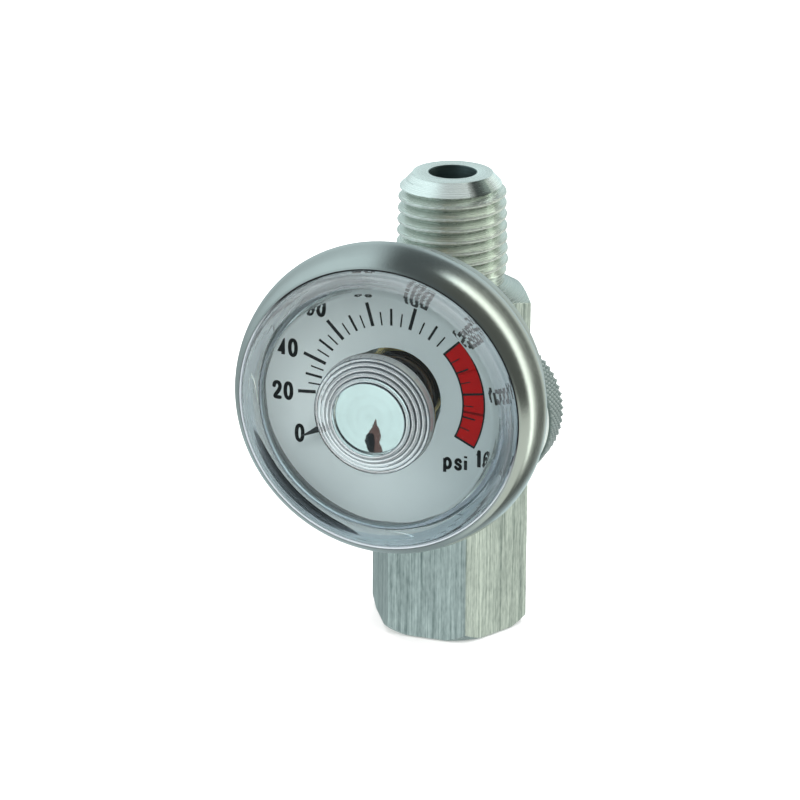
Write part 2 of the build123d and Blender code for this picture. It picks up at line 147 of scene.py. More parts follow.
def curve_points(ctrl, n=40):
    """Catmull-Rom points through the control points."""
    pts = [Vector(p) for p in ctrl]
    pts = [pts[0] * 2 - pts[1]] + pts + [pts[-1] * 2 - pts[-2]]
    out = []
    spans = len(pts) - 3
    for s in range(spans):
        p0, p1, p2, p3 = pts[s:s + 4]
        for k in range(n // spans):
            t = k / (n // spans)
            out.append(tuple(0.5 * ((2 * p1) + (p2 - p0) * t + (2 * p0 - 5 * p1 + 4 * p2 - p3) * t * t + (3 * p1 - p0 - 3 * p2 + p3) * t ** 3)))
    out.append(tuple(pts[-2]))
    return out


# -------------------------------------------------------------- material tools
class Mat:
    def __init__(self, name, **values):
        self.m = bpy.data.materials.new(name)
        self.m.use_nodes = True
        self.t = self.m.node_tree
        self.p = next(n for n in self.t.nodes if n.type == "BSDF_PRINCIPLED")
        self.coord = self.t.nodes.new("ShaderNodeTexCoord").outputs["Object"]
        for k, v in values.items():
            self.p.inputs[k.replace("_", " ")].default_value = v

    def node(self, kind, ins=None, **props):
        n = self.t.nodes.new(kind)
        for k, v in props.items():
            setattr(n, k, v)
        for k, v in (ins or {}).items():
            if hasattr(v, "links") or isinstance(v, bpy.types.NodeSocket):
                self.t.links.new(v, n.inputs[k])
            else:
                n.inputs[k].default_value = v
        return n

    def math(self, op, a, b=None, c=None):
        n = self.t.nodes.new("ShaderNodeMath")
        n.operation = op
        for i, v in enumerate((a, b, c)):
            if v is None:
                continue
            if isinstance(v, bpy.types.NodeSocket):
                self.t.links.new(v, n.inputs[i])
            else:
                n.inputs[i].default_value = v
        return n.outputs[0]

    def scaled(self, scale, vector=None):
        n = self.node("ShaderNodeMapping", {"Vector": vector or self.coord, "Scale": scale})
        return n.outputs[0]

    def noise(self, scale, size=1.0, detail=3.0, rough=0.5, vector=None):
        n = self.node("ShaderNodeTexNoise", {"Vector": self.scaled(scale, vector), "Scale": size, "Detail": detail, "Roughness": rough})
        return n.outputs["Fac"]

    def ramp(self, fac, stops, colour=False):
        n = self.t.nodes.new("ShaderNodeValToRGB")
        self.t.links.new(fac, n.inputs[0])
        e = n.color_ramp.elements
        while len(e) > len(stops):
            e.remove(e[-1])
        while len(e) < len(stops):
            e.new(0.5)
        for s, (pos, v) in zip(e, stops):
            s.position = pos
            s.color = (*v, 1) if isinstance(v, tuple) else (v, v, v, 1)
        return n.outputs[0]

    def mix(self, fac, a, b):
        n = self.t.nodes.new("ShaderNodeMix")
        n.data_type = "RGBA"
        for i, v in ((0, fac), (6, a), (7, b)):
            if isinstance(v, bpy.types.NodeSocket):
                self.t.links.new(v, n.inputs[i])
            else:
                n.inputs[i].default_value = v if i == 0 else (*v, 1)
        return n.outputs[2]

    def to(self, socket, value):
        self.t.links.new(value, self.p.inputs[socket])

    def bump(self, height, strength=0.3, distance=0.0001, normal=None):
        ins = {"Height": height, "Strength": strength, "Distance": distance}
        if normal is not None:
            ins["Normal"] = normal
        return self.node("ShaderNodeBump", ins).outputs[0]

    def around(self, centre_z, axis="Y"):
        """(distance from the axis, place along the axis) of an object point, in metres."""
        sep = self.node("ShaderNodeSeparateXYZ", {"Vector": self.coord})
        x, y, z = sep.outputs
        if axis == "Y":
            zz = self.math("SUBTRACT", z, centre_z * MM)
            r = self.math("SQRT", self.math("ADD", self.math("MULTIPLY", x, x), self.math("MULTIPLY", zz, zz)))
            return r, y
        r = self.math("SQRT", self.math("ADD", self.math("MULTIPLY", x, x), self.math("MULTIPLY", y, y)))
        return r, z

    def vector(self, x, y, z=0.0):
        n = self.t.nodes.new("ShaderNodeCombineXYZ")
        for i, v in enumerate((x, y, z)):
            if isinstance(v, bpy.types.NodeSocket):
                self.t.links.new(v, n.inputs[i])
            else:
                n.inputs[i].default_value = v
        return n.outputs[0]


def turned_metal(name, colour, rough, axis="Y", centre_z=GZ, lines=5000.0, strength=0.18, metallic=1.0, **kw):
    """Lathe-turned metal: fine rings that follow the radius and the length."""
    m = Mat(name, Metallic=metallic, **kw)
    r, h = m.around(centre_z, axis)
    v = m.vector(m.math("MULTIPLY", r, lines), m.math("MULTIPLY", h, lines), 0.0)
    rings = m.node("ShaderNodeTexNoise", {"Vector": v, "Scale": 1.0, "Detail": 4.0, "Roughness": 0.6}).outputs["Fac"]
    blotch = m.noise((1, 1, 1), size=260.0, detail=3.0)
    m.to("Base Color", m.mix(m.ramp(m.math("MULTIPLY_ADD", rings, 0.5, m.math("MULTIPLY", blotch, 0.5)), [(0.3, 0.0), (0.7, 1.0)]),
                             tuple(c * 0.88 for c in colour), tuple(min(1, c * 1.08) for c in colour)))
    m.to("Roughness", m.math("MULTIPLY_ADD", m.math("ADD", rings, blotch), rough * 0.45, rough * 0.55))
    m.to("Normal", m.bump(rings, strength, 0.00004))
    return m.m


# drawn hexagon bar: long draw lines, chatter marks, dull film
def drawn_bar():
    m = Mat("body_drawn_aluminium", Metallic=1.0, Anisotropic=0.55)
    fine = m.noise((5200, 5200, 120), detail=5.0, rough=0.62)
    wide = m.noise((1500, 1500, 24), detail=3.0, rough=0.5)
    dash = m.noise((3300, 3300, 900), detail=2.0, rough=0.5)
    streak = m.math("ADD", m.math("MULTIPLY", fine, 0.5), m.math("ADD", m.math("MULTIPLY", wide, 0.3), m.math("MULTIPLY", dash, 0.2)))
    m.to("Base Color", m.mix(m.ramp(streak, [(0.36, 0.0), (0.62, 1.0)]), (0.26, 0.30, 0.295), (0.92, 0.95, 0.92)))
    m.to("Roughness", m.math("MULTIPLY_ADD", streak, 0.22, 0.24))
    m.to("Normal", m.bump(streak, 0.55, 0.00005))
    tan = m.t.nodes.new("ShaderNodeTangent")
    tan.direction_type = "RADIAL"
    tan.axis = "Z"
    m.t.links.new(tan.outputs[0], m.p.inputs["Tangent"])
    return m.m


def thread_metal():
    """Turned aluminium: olive flanks, darkened toward the thread roots as painted shade; torn crests painted near white
    as a painted highlight on partly burnished metal.
    """
    m = Mat("nipple_turned_aluminium", Metallic=1.0)
    r, h = m.around(0, "Z")
    v = m.vector(m.math("MULTIPLY", r, 6500.0), m.math("MULTIPLY", h, 6500.0), 0.0)
    rings = m.node("ShaderNodeTexNoise", {"Vector": v, "Scale": 1.0, "Detail": 4.0, "Roughness": 0.65}).outputs["Fac"]
    burr = m.noise((2600, 2600, 4200), detail=4.0, rough=0.7)
    # the crest's radius follows the taper
    crest_r = m.math("MULTIPLY_ADD", h, -0.036, (6.65 + 50.8 * 0.036) * MM)
    below = m.math("SUBTRACT", crest_r, r)
    on_thread = m.math("MULTIPLY", m.math("GREATER_THAN", h, 45.6 * MM), m.math("LESS_THAN", h, 55.6 * MM))
    torn = m.ramp(m.noise((3400, 3400, 1500), detail=3.0, rough=0.7), [(0.42, 0.15), (0.56, 1.0)])
    # torn crests painted near white: painted highlight on partly burnished metal
    crest = m.math("MULTIPLY", m.math("MULTIPLY", m.ramp(m.math("MULTIPLY", m.math("MULTIPLY_ADD", burr, -0.00008, below), 1000.0), [(0.0, 1.0), (0.055, 0.0)]), on_thread), torn)
    # the thread roots keep the darker flank tone: painted shade
    root_shade = m.math("MULTIPLY", m.ramp(m.math("MULTIPLY", below, 1000.0), [(0.45, 0.0), (0.95, 1.0)]), on_thread)
    tex = m.math("MULTIPLY_ADD", burr, crest, m.math("MULTIPLY", rings, 0.6))
    flank = m.mix(root_shade, m.mix(m.ramp(rings, [(0.3, 0.0), (0.7, 1.0)]), (0.66, 0.71, 0.66), (0.95, 0.98, 0.93)), (0.66, 0.71, 0.66))
    # bright cut end: chamfer painted light as a painted reflection, with one near-black spot on its front as a painted
    # dark reflection
    sep = m.node("ShaderNodeSeparateXYZ", {"Vector": m.coord}).outputs
    turn = m.math("DIVIDE", sep[0], m.math("MAXIMUM", r, 0.0001))
    end = m.math("MULTIPLY", m.math("GREATER_THAN", h, 55.62 * MM), m.math("GREATER_THAN", r, 2.9 * MM))
    face = m.math("GREATER_THAN", h, 57.285 * MM)
    front = m.math("LESS_THAN", sep[1], 0.0)
    dark_reflection = m.math("MULTIPLY", m.math("MULTIPLY", m.ramp(turn, [(0.60, 0.0), (0.74, 1.0), (0.92, 1.0), (0.985, 0.0)]), m.math("SUBTRACT", 1.0, face)), m.math("MULTIPLY", front, end))
    painted_bright = m.math("MULTIPLY", m.math("SUBTRACT", end, dark_reflection), m.math("MULTIPLY_ADD", rings, 0.3, 0.85))
    base = m.mix(crest, flank, (0.98, 0.99, 0.97))
    base = m.mix(m.math("MULTIPLY", painted_bright, 0.8), base, (0.72, 0.82, 0.81))
    step = m.math("MULTIPLY", m.math("LESS_THAN", h, 45.3 * MM), 0.45)
    base = m.mix(step, base, (0.30, 0.36, 0.355))
    m.to("Base Color", m.mix(m.math("MULTIPLY", dark_reflection, 0.85), base, (0.06, 0.09, 0.095)))
    m.to("Metallic", m.math("SUBTRACT", 0.92, m.math("MULTIPLY", painted_bright, m.math("MULTIPLY_ADD", face, -0.08, 0.20))))
    m.to("Roughness", m.math("MULTIPLY_ADD", crest, 0.25, m.math("MULTIPLY_ADD", rings, 0.18, 0.17)))
    m.to("Normal", m.bump(tex, 0.7, 0.00007))
    return m.m


def knurl_metal():
    m = Mat("knob_knurled_aluminium", Metallic=0.55)
    grain = m.noise((4200, 4200, 4200), detail=4.0, rough=0.6)
    blotch = m.noise((500, 500, 500), detail=2.0)
    r, h = m.around(KZ, "Y")
    band = m.math("GREATER_THAN", r, 9.15 * MM)
    # knurl valleys painted dark and tooth tips lighter: painted shade in the knurl
    knurl_shade = m.ramp(m.math("MULTIPLY", m.math("SUBTRACT", r, 9.15 * MM), 2000.0), [(0.25, 0.0), (0.95, 1.0)])
    rings = m.node("ShaderNodeTexNoise", {"Vector": m.vector(m.math("MULTIPLY", r, 5200.0), m.math("MULTIPLY", h, 5200.0), 0.0), "Scale": 1.0, "Detail": 4.0}).outputs["Fac"]
    rear = m.math("GREATER_THAN", h, 14.5 * MM)
    turned = m.mix(m.ramp(rings, [(0.35, 0.0), (0.65, 1.0)]), (0.34, 0.38, 0.375), (0.50, 0.54, 0.53))
    # the front face painted far lighter than the turned rear: painted light
    face = m.mix(rear, m.mix(blotch, (0.74, 0.80, 0.78), (0.86, 0.92, 0.90)), turned)
    knurl = m.mix(knurl_shade, (0.16, 0.21, 0.20), (0.46, 0.52, 0.51))
    m.to("Base Color", m.mix(band, face, knurl))
    m.to("Roughness", m.math("MULTIPLY_ADD", grain, 0.25, 0.33))
    m.to("Normal", m.bump(grain, 0.35, 0.00005))
    return m.m


def satin_steel():
    m = Mat("bezel_satin_stainless", Metallic=1.0)
    r, h = m.around(GZ, "Y")
    grain = m.noise((3800, 3800, 3800), detail=4.0, rough=0.6)
    blotch = m.noise((190, 190, 190), detail=3.0)
    rings = m.node("ShaderNodeTexNoise", {"Vector": m.vector(m.math("MULTIPLY", r, 3500.0), m.math("MULTIPLY", h, 3500.0), 0.0), "Scale": 1.0, "Detail": 3.0}).outputs["Fac"]
    m.to("Base Color", m.mix(blotch, (0.55, 0.56, 0.555), (0.68, 0.685, 0.68)))
    m.to("Roughness", m.math("MULTIPLY_ADD", m.math("ADD", grain, blotch), 0.10, 0.11))
    m.to("Normal", m.bump(m.math("ADD", m.math("MULTIPLY", grain, 0.7), m.math("MULTIPLY", rings, 0.3)), 0.16, 0.00004))
    return m.m


def paint(name, a, b, rough=0.45, scale=900.0, strength=0.12, **kw):
    m = Mat(name, **kw)
    grain = m.noise((scale, scale, scale), detail=4.0, rough=0.6)
    m.to("Base Color", m.mix(grain, a, b))
    m.to("Roughness", m.math("MULTIPLY_ADD", grain, 0.15, rough))
    m.to("Normal", m.bump(grain, strength, 0.00003))
    return m.m


def clear_plastic(name="lens_clear_plastic", rings=False, level=0.1):
    m = Mat(name, IOR=1.49)
    m.p.inputs["Transmission Weight"].default_value = 1.0
    m.p.inputs["Specular IOR Level"].default_value = 0.3 if rings else level
    haze = m.noise((700, 700, 700), detail=3.0)
    if rings:
        # moulded steps: a near-black line painted in each groove and a milky line on each edge, standing in for the
        # dark refraction lines and the highlights of the steps: painted shade and painted highlight
        r, h = m.around(GZ, "Y")
        fine = m.noise((900, 900, 900), detail=2.0)
        rr = m.math("MULTIPLY", m.math("MULTIPLY_ADD", fine, 0.00005, r), 1000.0 / 8.0)
        painted_dark, thin_painted_dark, milky_highlight = [(0.0, 0.0)], [(0.0, 0.0)], [(0.0, 0.0)]
        for edge in (4.45, 5.0, 5.55, 6.1, 6.6, 7.0):
            painted_dark += [((edge - 0.10) / 8, 0.0), ((edge - 0.03) / 8, 1.0), ((edge + 0.04) / 8, 0.9), ((edge + 0.10) / 8, 0.0)]
            if edge < 6.8:
                thin_painted_dark += [((edge + 0.29) / 8, 0.0), ((edge + 0.33) / 8, 0.55), ((edge + 0.37) / 8, 0.0)]
            milky_highlight += [((edge + 0.11) / 8, 0.0), ((edge + 0.17) / 8, 1.0), ((edge + 0.25) / 8, 0.1)]
        d = m.math("MAXIMUM", m.ramp(rr, painted_dark), m.ramp(rr, thin_painted_dark))
        m.to("Base Color", m.mix(d, (0.88, 0.93, 0.95), (0.015, 0.02, 0.035)))
        m.to("Transmission Weight", m.math("SUBTRACT", 0.92, m.math("MULTIPLY", m.ramp(rr, milky_highlight), 0.55)))
    else:
        m.to("Base Color", m.mix(haze, (0.975, 0.99, 0.985), (0.99, 1.0, 0.995)))
    m.to("Roughness", m.ramp(haze, [(0.4, 0.0), (0.8, 0.035)]))
    m.to("Normal", m.bump(haze, 0.03, 0.00005))
    return m.m


def rim_plastic():
    """Clear rim wall, its moulded skin a little milky in fine rings."""
    m = Mat("lens_rim_plastic", IOR=1.49)
    m.p.inputs["Specular IOR Level"].default_value = 0.35
    haze = m.noise((700, 700, 700), detail=3.0)
    r, h = m.around(GZ, "Y")
    lines = m.node("ShaderNodeTexNoise", {"Vector": m.vector(m.math("MULTIPLY", r, 2600.0), m.math("MULTIPLY", h, 900.0), 0.0), "Scale": 1.0, "Detail": 3.0}).outputs["Fac"]
    # rim painted lighter and milkier at the top and darker blue-grey below: painted light above, painted shade below
    up = m.ramp(m.math("MULTIPLY_ADD", m.math("SUBTRACT", m.node("ShaderNodeSeparateXYZ", {"Vector": m.coord}).outputs[2], GZ * MM), 30.0, 0.5), [(0.1, 0.0), (0.9, 1.0)])
    m.to("Transmission Weight", m.math("MULTIPLY_ADD", up, -0.07, m.ramp(lines, [(0.35, 0.99), (0.50, 0.96), (0.66, 0.90)])))
    low = m.mix(lines, (0.34, 0.45, 0.53), (0.70, 0.81, 0.88))
    m.to("Base Color", m.mix(up, low, m.mix(lines, (0.80, 0.88, 0.91), (0.96, 0.99, 1.0))))
    m.to("Roughness", m.ramp(haze, [(0.4, 0.02), (0.8, 0.07)]))
    m.to("Normal", m.bump(lines, 0.05, 0.00005))
    return m.m


def frosted_plastic():
    """The moulded, unpolished inside of the boss."""
    m = Mat("lens_frosted_plastic", IOR=1.49)
    m.p.inputs["Transmission Weight"].default_value = 0.7
    m.p.inputs["Specular IOR Level"].default_value = 0.3
    haze = m.noise((1600, 1600, 1600), detail=3.0)
    m.to("Base Color", m.mix(haze, (0.62, 0.70, 0.73), (0.80, 0.88, 0.90)))
    m.to("Roughness", m.ramp(haze, [(0.3, 0.30), (0.8, 0.45)]))
    m.to("Normal", m.bump(haze, 0.05, 0.00005))
    return m.m


def drilled(name, a, b):
    m = Mat(name, Metallic=1.0)
    r, h = m.around(0, "Z")
    rings = m.node("ShaderNodeTexNoise", {"Vector": m.vector(m.math("MULTIPLY", r, 3000.0), m.math("MULTIPLY", h, 5200.0), 0.0), "Scale": 1.0, "Detail": 4.0}).outputs["Fac"]
    m.to("Base Color", m.mix(rings, a, b))
    m.to("Roughness", m.math("MULTIPLY_ADD", rings, 0.2, 0.42))
    m.to("Normal", m.bump(rings, 0.4, 0.00006))
    return m.m


def gasket_rubber():
    """Rubber painted grey where it is hidden, so the lens rim in front of it looks light: painted light; the edge that
    shows is painted near black toward the top and right as painted shade in the gap by the bezel.
    """
    m = Mat("lens_gasket_rubber", Roughness=0.6)
    grain = m.noise((2400, 2400, 2400), detail=4.0, rough=0.6)
    y = m.node("ShaderNodeSeparateXYZ", {"Vector": m.coord}).outputs[1]
    edge = m.math("GREATER_THAN", m.math("MULTIPLY", y, -1000.0), 26.9)
    xyz = m.node("ShaderNodeSeparateXYZ", {"Vector": m.coord}).outputs
    # near black on the showing edge toward the top and right: painted shade in the gap
    shade_side = m.math("MULTIPLY", m.math("ADD", m.math("MULTIPLY", xyz[0], 0.45), m.math("MULTIPLY", m.math("SUBTRACT", xyz[2], GZ / 1000.0), 0.9)), 60.0)
    painted_dark = m.math("MULTIPLY", edge, m.ramp(shade_side, [(0.0, 0.15), (0.35, 1.0)]))
    m.to("Base Color", m.mix(painted_dark, m.mix(grain, (0.50, 0.56, 0.60), (0.62, 0.68, 0.72)), (0.008, 0.009, 0.010)))
    m.to("Normal", m.bump(grain, 0.3, 0.00003))
    return m.m


M_BAR = drawn_bar()
# drilled holes painted much darker than the bar: painted shade inside the bores
M_BORE = drilled("bore_drilled_aluminium_painted_shade", (0.10, 0.14, 0.145), (0.24, 0.30, 0.31))
M_NIPPLE = thread_metal()
M_KNOB = knurl_metal()
M_STEEL = satin_steel()
def case_steel():
    """Drawn stainless outside; the inside painted near black as painted shade, since the lens casts no shadow."""
    m = Mat("case_drawn_stainless", Metallic=1.0)
    r, h = m.around(GZ, "Y")
    v = m.vector(m.math("MULTIPLY", r, 2600.0), m.math("MULTIPLY", h, 2600.0), 0.0)
    rings = m.node("ShaderNodeTexNoise", {"Vector": v, "Scale": 1.0, "Detail": 4.0}).outputs["Fac"]
    # the inside of the case painted near black: painted shade
    inside = m.math("MULTIPLY", m.math("LESS_THAN", r, 16.9 * MM), m.math("LESS_THAN", h, -17.2 * MM))
    m.to("Base Color", m.mix(inside, m.mix(rings, (0.54, 0.55, 0.54), (0.66, 0.665, 0.655)), (0.008, 0.009, 0.014)))
    m.to("Roughness", m.math("MULTIPLY_ADD", rings, 0.14, 0.26))
    m.to("Normal", m.bump(rings, 0.1, 0.00004))
    return m.m


def dial_enamel():
    """White enamel, painted lighter on the left and darker on the right: painted light and painted shade across the
    dial.
    """
    m = Mat("dial_white_enamel", Specular_IOR_Level=0.2)
    grain = m.noise((1500, 1500, 1500), detail=4.0, rough=0.6)
    x = m.node("ShaderNodeSeparateXYZ", {"Vector": m.coord}).outputs[0]
    # lighter left, darker right: painted light and painted shade
    shade_side = m.ramp(m.math("MULTIPLY_ADD", x, 30.0, 0.5), [(0.0, 0.0), (1.0, 1.0)])
    painted_bright = m.mix(grain, (0.86, 0.97, 0.975), (0.89, 0.99, 0.99))
    shaded_tone = m.mix(grain, (0.51, 0.63, 0.65), (0.54, 0.66, 0.68))
    m.to("Base Color", m.mix(shade_side, painted_bright, shaded_tone))
    m.to("Roughness", m.math("MULTIPLY_ADD", grain, 0.15, 0.42))
    m.to("Normal", m.bump(grain, 0.05, 0.00003))
    return m.m


M_CASE = case_steel()
M_BRASS = turned_metal("turned_brass", (0.80, 0.62, 0.30), 0.30, lines=4200.0)
# movement parts painted very dark brass: painted shade inside the case
M_INNER = turned_metal("movement_brass_painted_shade", (0.035, 0.024, 0.014), 0.50, lines=3600.0)
M_VBRASS = turned_metal("bonnet_turned_brass", (0.80, 0.62, 0.30), 0.30, centre_z=KZ, lines=4200.0)
# coil painted dark bronze: painted shade inside the case
M_BRONZE = turned_metal("coil_drawn_bronze_painted_shade", (0.11, 0.062, 0.036), 0.38, lines=3000.0, strength=0.1)
M_SCREW = turned_metal("screw_plated_steel", (0.62, 0.62, 0.61), 0.24, centre_z=KZ, lines=3800.0)
M_ARBOR = turned_metal("arbor_steel", (0.62, 0.62, 0.61), 0.24, lines=3800.0)
M_MIRROR = turned_metal("plated_mirror_disc", (0.90, 0.93, 0.93), 0.008, lines=900.0, strength=0.001)
M_DIAL = dial_enamel()
M_PRINT = paint("dial_black_print", (0.006, 0.008, 0.009), (0.016, 0.019, 0.021), rough=0.5, scale=2600.0, Specular_IOR_Level=0.2)
M_RED = paint("dial_red_print", (0.46, 0.0006, 0.0015), (0.54, 0.0008, 0.002), rough=0.45, scale=1800.0, Specular_IOR_Level=0.15)
M_POINTER = paint("pointer_black_paint", (0.010, 0.012, 0.014), (0.022, 0.025, 0.028), rough=0.5, scale=2400.0)
M_GASKET = gasket_rubber()
M_RUBBER = paint("gasket_black_rubber", (0.010, 0.010, 0.011), (0.025, 0.025, 0.026), rough=0.6, scale=2800.0, strength=0.3)
M_FIBRE = paint("gasket_red_fibre", (0.20, 0.10, 0.07), (0.30, 0.16, 0.11), rough=0.7, scale=3200.0, strength=0.5)
M_WHITE = paint("spacer_white_plastic", (0.72, 0.74, 0.73), (0.78, 0.80, 0.79), rough=0.45, scale=1200.0)
M_SEAT = paint("seat_fluoropolymer", (0.78, 0.78, 0.75), (0.84, 0.84, 0.81), rough=0.5, scale=1500.0)
M_CLEAR = clear_plastic()
M_FROST = frosted_plastic()
M_WINDOW = clear_plastic("lens_inner_window", level=0.0)
M_RIM = rim_plastic()
M_RINGS = clear_plastic("lens_stepped_plastic", rings=True)

by_node = {
    "valve_body": M_BAR, "valve_seat": M_SEAT, "bonnet": M_VBRASS, "bonnet_gasket": M_FIBRE, "stem_oring": M_RUBBER,
    "valve_needle": M_VBRASS, "valve_stem": M_SCREW, "adjusting_knob": M_KNOB, "knob_washer": M_SCREW, "knob_screw": M_SCREW,
    "gauge_seal": M_FIBRE, "gauge_socket": M_BRASS, "gauge_restrictor": M_BRASS, "case_washer": M_FIBRE, "gauge_case": M_CASE,
    "case_nut": M_BRASS, "gauge_bezel": M_STEEL, "lens_gasket": M_GASKET, "gauge_lens": M_CLEAR, "centre_mirror": M_MIRROR,
    "dial_plate": M_DIAL, "zero_stop_pin": M_ARBOR, "dial_spacer": M_WHITE, "arbor_bushing": M_INNER, "coil_anchor": M_INNER,
    "bourdon_coil": M_BRONZE, "pointer_arbor": M_ARBOR, "coil_link": M_INNER, "pointer_blade": M_POINTER, "pointer_hub": M_BRASS,
}
for node, mat in by_node.items():
    obj = frame["nodes"][node]
    if not obj.data.materials:
        obj.data.materials.append(mat)
    for i in range(len(obj.material_slots)):
        obj.material_slots[i].material = mat


# ------------------------------------------------------------------ valve body
def hex_outline(corner=0.28, per_flat=14, per_corner=5):
    """(radius, angle) round the hexagon, its corners slightly broken."""
    out = []
    inner = HEX_AF / 2 - corner
    reach = inner * math.tan(math.radians(30))
    for k in range(6):
        a = math.radians(60 * k + 30)               # this flat's normal
        n, t = Vector((math.cos(a), math.sin(a))), Vector((-math.sin(a), math.cos(a)))
        for i in range(per_flat):
            u = -reach + 2 * reach * i / per_flat
            out.append(n * (HEX_AF / 2) + t * u)
        c = Vector((math.cos(a + math.radians(30)), math.sin(a + math.radians(30)))) * (inner / math.cos(math.radians(30)))
        for i in range(per_corner):
            b = a + math.radians(60) * i / per_corner
            out.append(c + Vector((math.cos(b), math.sin(b))) * corner)
    return [(p.length, math.atan2(p.y, p.x)) for p in out]


def body_mesh():
    base_r, shoulder_z, neck_r = 9.1, 41.8, 6.4
    s_top = shoulder_z + (HEX_R - neck_r) * math.tan(math.radians(30))
    outline = hex_outline()
    n = len(outline)
    verts, faces, rings = [], [], []

    def ring(f):
        rings.append([len(verts) + i for i in range(n)])
        for r, a in outline:
            rr, z, aa = f(r, a)
            verts.append((rr * math.cos(aa), rr * math.sin(aa), z))

    # inlet port, from its floor out to the mouth, with a helical internal thread
    def port_r(a, z):
        ph = ((z / PITCH) - a / (2 * math.pi)) % 1.0
        v = abs(ph - 0.5) * 2                    # 0 at the groove's middle, 1 at the crest
        cut = max(0.0, min(1.0, (1 - v) / 0.85))
        fade = max(0.0, min(1.0, (11.4 - z) / 0.8)) * max(0.0, min(1.0, (z - 0.1) / 0.4))
        return 5.56 + 0.85 * cut * fade

    ring(lambda r, a: (0.02, 12.5 + 5.56 * math.tan(math.radians(31)), a))
    ring(lambda r, a: (5.56, 12.5, a))
    steps = 150
    for k in range(1, steps + 1):
        z = 12.5 + (0.45 - 12.5) * k / steps
        ring(lambda r, a, z=z: (port_r(a, z), z, a))
    ring(lambda r, a: (6.01, 0.0, a))
    # bottom face, chamfer, flats
    ring(lambda r, a: (min(base_r, r) - 0.06, 0.0, a))
    for t in (0.0, 0.5, 1.0):
        ring(lambda r, a, t=t: (min(base_r, r) + (r - min(base_r, r)) * t, 0.05 + max(0.0, min(base_r, r) + (r - min(base_r, r)) * t - base_r), a))
    for k in range(1, 24):
        ring(lambda r, a, k=k: (r, 0.05 + max(0.0, r - base_r) + (shoulder_z - 1.6) * k / 24, a))
    # shoulder
    cone = lambda r: shoulder_z + (HEX_R - r) * math.tan(math.radians(30))
    for t in (0.0, 0.012):
        ring(lambda r, a, t=t: (r - (r - neck_r) * t, cone(r) - 0.035 * (1 - t / 0.012) if t < 0.012 else cone(r - (r - neck_r) * t), a))
    for k in range(1, 11):
        t = 0.012 + (1 - 0.012) * k / 10
        ring(lambda r, a, t=t: (r - (r - neck_r) * t, cone(r - (r - neck_r) * t), a))
    return verts, faces, rings, outline, s_top, ring


def build_body():
    verts, faces, rings, outline, s_top, ring = body_mesh()
    crest, root = 6.65, 5.62
    z0, z1, top, flat_r = 45.15, 55.48, 57.3, 4.83

    def thread_r(a, z):
        return plain_thread_r(a, z) + (50.8 - z) * 0.036

    def plain_thread_r(a, z):
        # right-hand helix; the crest passes the +X side at z = 46.3 + k pitch
        ph = ((z - 46.42) / PITCH - a / (2 * math.pi)) % 1.0
        d = min(ph, 1 - ph) * PITCH              # distance from the crest's middle
        wander = 0.018 * math.sin(7 * a + 3.1 * z) + 0.014 * math.sin(23 * a - 5.3 * z)
        depth = max(0.0, d - 0.09 + wander * (1 if d < 0.25 else 0)) * math.tan(math.radians(60))
        r = max(root, crest - depth)
        if d < 0.16:
            r = crest - max(0.0, d - 0.05) * 0.5 + wander * 0.6
        # run-out at the bottom
        f = max(0.0, min(1.0, (z - z0) / 0.9))
        low = 6.4
        return low + (r - low) * f if r < low else min(r, low + (r - low) * f)

    ring(lambda r, a: (6.4, s_top + 0.02, a))
    ring(lambda r, a: (6.4, z0, a))
    steps = 230
    for k in range(1, steps + 1):
        z = z0 + (z1 - z0) * k / steps
        ring(lambda r, a, z=z: (thread_r(a, z), z, a))
    for k in range(1, 19):
        t = k / 18
        z = z1 + (top - 0.1 - z1) * t
        lim = crest - 0.17 - (z - z1) * (crest - 0.17 - flat_r) / (top - 0.1 - z1)
        ring(lambda r, a, z=z, lim=lim: (min(lim, thread_r(a, z)), z, a))
    ring(lambda r, a: (flat_r + 0.02, top - 0.03, a))
    ring(lambda r, a: (flat_r - 0.1, top, a))
    ring(lambda r, a: (2.95, top, a))
    ring(lambda r, a: (2.84, top - 0.04, a))
    ring(lambda r, a: (2.8, top - 0.15, a))
    ring(lambda r, a: (2.8, 30.0, a))
    ring(lambda r, a: (1.6, 29.9, a))
    ring(lambda r, a: (1.6, 24.0, a))
    ring(lambda r, a: (0.02, 23.9, a))
    n = len(outline)
    for i in range(len(rings) - 1):
        a, b = rings[i], rings[i + 1]
        for k in range(n):
            k2 = (k + 1) % n
            faces.append((a[k], a[k2], b[k2], b[k]))
    faces.append(tuple(rings[0]))
    faces.append(tuple(reversed(rings[-1])))
    return verts, faces


# the outline needs many points round the nipple, so flats are sampled finely
_hex = hex_outline
hex_outline = lambda: _hex(0.22, 26, 9)
bv, bf = build_body()


def body_zone(c):
    r = math.hypot(c.x, c.y)
    if r < 2.9 or (r < 6.9 and 0.3 < c.z < 40):
        return 2
    return 1 if c.z > SHOULDER_Z + (HEX_R - r) * 0.5 or c.z < 0.3 else 0


body = new_object("valve_body_fine", bv, bf, mats=[M_BAR, M_NIPPLE, M_BORE], sharp=28, mat_index=body_zone)
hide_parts("valve_body")

